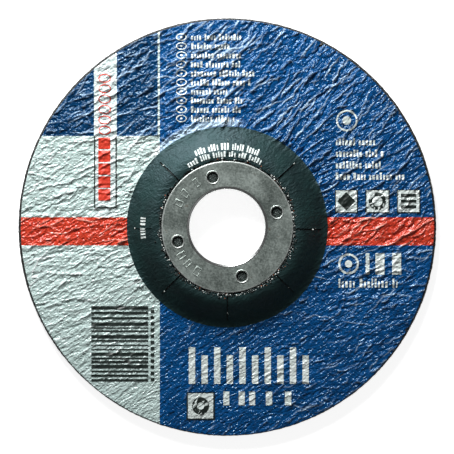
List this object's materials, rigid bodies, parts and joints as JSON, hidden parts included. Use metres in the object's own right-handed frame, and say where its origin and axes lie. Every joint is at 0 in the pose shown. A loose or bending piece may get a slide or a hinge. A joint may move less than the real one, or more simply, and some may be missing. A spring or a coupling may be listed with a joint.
{
  "type": "cut-off wheel",
  "caption": "Depressed-centre resin-bonded cut-off wheel with a printed label, a raised black hub and a pressed steel bore ring, lying on its working face.",
  "frame": {"origin": "on the wheel's axis, in the plane of the working face that it rests on", "axes": "+Z along the axis from the working face to the labelled machine side; +X is the label's right and +Y its top"},
  "size_m": [0.125, 0.125, 0.0078],
  "materials": {
    "abrasive": "matte",
    "glass_net": "satin",
    "label_paper": "satin",
    "blue_print": "satin",
    "navy_print": "satin",
    "red_print": "satin",
    "ring_steel": "satin"
  },
  "bodies": {
    "root": {"abrasive_body": "abrasive", "working_face_net": "glass_net", "label_paper": "label_paper", "ink_blue": "blue_print", "ink_navy": "navy_print", "ink_red": "red_print", "bore_ring": "ring_steel"}
  },
  "joints": []
}
